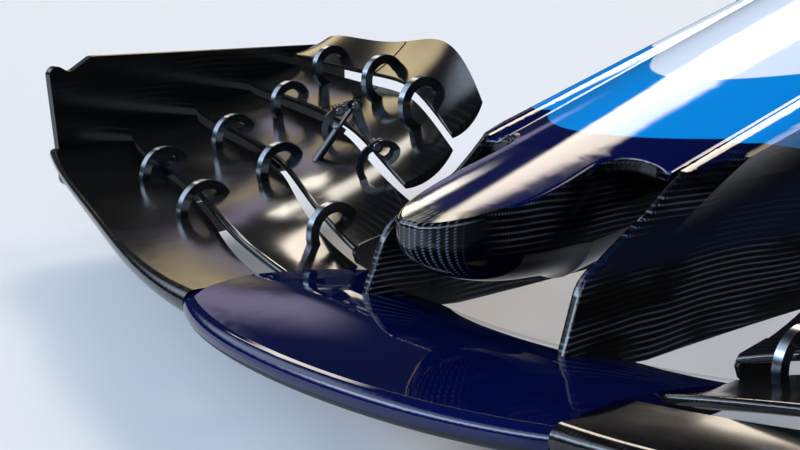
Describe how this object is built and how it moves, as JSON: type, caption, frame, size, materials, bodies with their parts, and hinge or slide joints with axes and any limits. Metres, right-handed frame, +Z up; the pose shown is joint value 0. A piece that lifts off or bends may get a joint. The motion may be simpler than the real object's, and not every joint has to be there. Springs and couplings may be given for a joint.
{
  "type": "racing car nose and front wing",
  "caption": "Nose cone on two pylons with a swept multi-element front wing, slot brackets, endplates and adjustable inboard flaps, as carried off an open wheel racing car.",
  "frame": {"origin": "centre of the nose's rear bulkhead face, midway between the four mounting studs", "axes": "+X to the car's left along the wing's span, +Y aft along the car and out of the studs, +Z up"},
  "size_m": [2, 1.089, 0.4289],
  "materials": {
    "nose_paint": "gloss navy paint with light blue and white bands under clear lacquer",
    "wing_paint": "gloss navy paint under clear lacquer",
    "carbon_gloss": "woven carbon under gloss lacquer, faded into navy",
    "carbon_black": "black woven carbon, satin gloss",
    "carbon_satin": "bare woven carbon, satin",
    "pod_black": "gloss black lacquer",
    "bracket_metal": "satin machined metal",
    "adjuster_metal": "brushed metal with a knurled wheel",
    "steel": "ground steel"
  },
  "bodies": {
    "root": {"adjuster_left": "adjuster_metal", "adjuster_right": "adjuster_metal", "bulkhead_frame": "carbon_satin", "camera_pod_left": "pod_black", "camera_pod_right": "pod_black", "endplate_left": "carbon_black", "endplate_right": "carbon_black", "flap_2_left": "carbon_black", "flap_2_right": "carbon_black", "flap_3_left": "carbon_black", "flap_3_right": "carbon_black", "flap_4_outer_left": "carbon_black", "flap_4_outer_right": "carbon_black", "flap_5_outer_left": "carbon_black", "flap_5_outer_right": "carbon_black", "footplate_left": "carbon_black", "footplate_right": "carbon_black", "hinge_arms_left": "bracket_metal", "hinge_arms_right": "bracket_metal", "main_plane_centre": "wing_paint", "main_plane_left": "carbon_black", "main_plane_right": "carbon_black", "mounting_studs": "steel", "nose_cone": "nose_paint", "nose_tip": "carbon_gloss", "pylon_left": "carbon_gloss", "pylon_right": "carbon_gloss", "slot_brackets_left": "bracket_metal", "slot_brackets_right": "bracket_metal", "strakes_left": "carbon_black", "strakes_right": "carbon_black"},
    "flap_left": {"flap_4_left": "carbon_black", "flap_5_left": "carbon_black", "flap_brackets_left": "bracket_metal", "hinge_lugs_left": "bracket_metal", "adjuster_horn_left": "bracket_metal"},
    "flap_right": {"flap_4_right": "carbon_black", "flap_5_right": "carbon_black", "flap_brackets_right": "bracket_metal", "hinge_lugs_right": "bracket_metal", "adjuster_horn_right": "bracket_metal"}
  },
  "joints": [
    {"name": "flap_adjust_left", "type": "hinge", "parent": "root", "child": "flap_left", "pos_m": [0.35, -0.67995, -0.15799], "axis": [0.8904, 0.4543, 0.0285], "range_deg": [-3, 5]},
    {"name": "flap_adjust_right", "type": "hinge", "parent": "root", "child": "flap_right", "pos_m": [-0.35, -0.67995, -0.15799], "axis": [0.8904, -0.4543, -0.0285], "range_deg": [-3, 5]}
  ]
}
